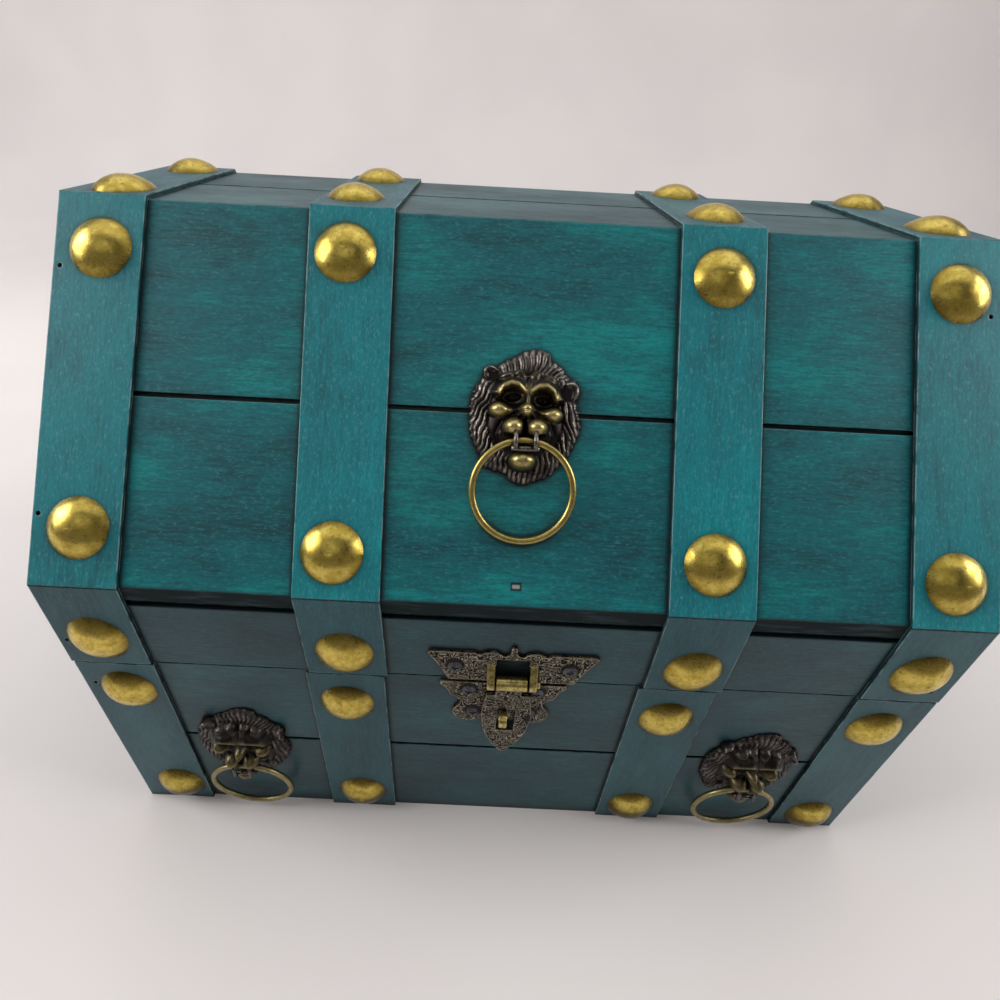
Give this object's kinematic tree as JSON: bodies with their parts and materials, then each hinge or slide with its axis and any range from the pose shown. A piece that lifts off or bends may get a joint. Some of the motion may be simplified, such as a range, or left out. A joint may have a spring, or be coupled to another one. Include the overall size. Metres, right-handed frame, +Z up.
{
  "type": "treasure chest box",
  "caption": "Planked wooden treasure chest keepsake box with a faceted hinged lid, nailed strap bands, lion-head ring pulls and a swinging hasp over a staple.",
  "frame": {"origin": "middle of the underside, on the surface the chest stands on", "axes": "+Z up, +X to the right as the front is looked at, front towards -Y"},
  "size_m": [0.23, 0.1848, 0.1756],
  "materials": {
    "plank_wood": "teal stain over a dark glaze, satin, brushed along the grain",
    "strap_wood": "teal stain over a dark glaze, satin, brushed along the grain",
    "dome_nail_brass": "antique brass with dark mottling",
    "ring_brass": "antique brass, polished",
    "lion_bronze": "dark bronze with rubbed brass highlights",
    "hasp_brass": "antique brass, embossed, dark in the hollows",
    "hinge_brass": "antique brass, plain",
    "screw_brass": "antique brass",
    "brad_steel": "dark steel"
  },
  "bodies": {
    "base": {"base_back_lower_plank": "plank_wood", "base_back_strap_1": "strap_wood", "base_back_strap_2": "strap_wood", "base_back_strap_3": "strap_wood", "base_back_strap_4": "strap_wood", "base_back_upper_plank": "plank_wood", "base_brads": "brad_steel", "base_dome_nails": "dome_nail_brass", "base_floor": "plank_wood", "base_front_lower_plank": "plank_wood", "base_front_strap_1": "strap_wood", "base_front_strap_2": "strap_wood", "base_front_strap_3": "strap_wood", "base_front_strap_4": "strap_wood", "base_front_upper_plank": "plank_wood", "base_left_end": "plank_wood", "base_right_end": "plank_wood", "hasp_base_plate": "hasp_brass", "hasp_base_screws": "screw_brass", "hasp_staple": "hasp_brass", "hinge_base_screws": "screw_brass", "hinge_left_base_leaf": "hinge_brass", "hinge_left_pin": "hinge_brass", "hinge_right_base_leaf": "hinge_brass", "hinge_right_pin": "hinge_brass", "lion_base_screws": "screw_brass", "lion_left_head": "lion_bronze", "lion_right_head": "lion_bronze"},
    "lid": {"hasp_lid_plate": "hasp_brass", "hasp_lid_screws": "screw_brass", "hasp_pin": "hasp_brass", "hinge_left_lid_leaf": "hinge_brass", "hinge_lid_screws": "screw_brass", "hinge_right_lid_leaf": "hinge_brass", "lid_back_rail": "plank_wood", "lid_back_slope_lower_plank": "plank_wood", "lid_back_slope_upper_plank": "plank_wood", "lid_brads": "brad_steel", "lid_dome_nails": "dome_nail_brass", "lid_front_rail": "plank_wood", "lid_front_slope_lower_plank": "plank_wood", "lid_front_slope_upper_plank": "plank_wood", "lid_left_end": "plank_wood", "lid_right_end": "plank_wood", "lid_strap_1": "strap_wood", "lid_strap_2": "strap_wood", "lid_strap_3": "strap_wood", "lid_strap_4": "strap_wood", "lid_top_back_plank": "plank_wood", "lid_top_front_plank": "plank_wood", "lion_lid_head": "lion_bronze", "lion_lid_screw": "screw_brass"},
    "hasp_tongue": {"hasp_tongue": "hasp_brass"},
    "lion_lid_ring": {"lion_lid_ring": "ring_brass"},
    "lion_left_ring": {"lion_left_ring": "ring_brass"},
    "lion_right_ring": {"lion_right_ring": "ring_brass"}
  },
  "joints": [
    {"name": "lid_hinge", "type": "hinge", "parent": "base", "child": "lid", "pos_m": [0, 0.0887, 0.0698], "axis": [-1, 0, 0], "range_deg": [0, 105]},
    {"name": "hasp_swing", "type": "hinge", "parent": "lid", "child": "hasp_tongue", "pos_m": [0.001, -0.0888, 0.0711], "axis": [-1, 0, 0], "range_deg": [0, 170]},
    {"name": "lid_ring_swing", "type": "hinge", "parent": "lid", "child": "lion_lid_ring", "pos_m": [0, -0.06595, 0.13096], "axis": [-1, 0, 0], "range_deg": [0, 110]},
    {"name": "left_ring_swing", "type": "hinge", "parent": "base", "child": "lion_left_ring", "pos_m": [-0.0766, -0.0911, 0.0279], "axis": [-1, 0, 0], "range_deg": [-4, 110]},
    {"name": "right_ring_swing", "type": "hinge", "parent": "base", "child": "lion_right_ring", "pos_m": [0.0754, -0.0911, 0.0279], "axis": [-1, 0, 0], "range_deg": [-4, 110]}
  ]
}
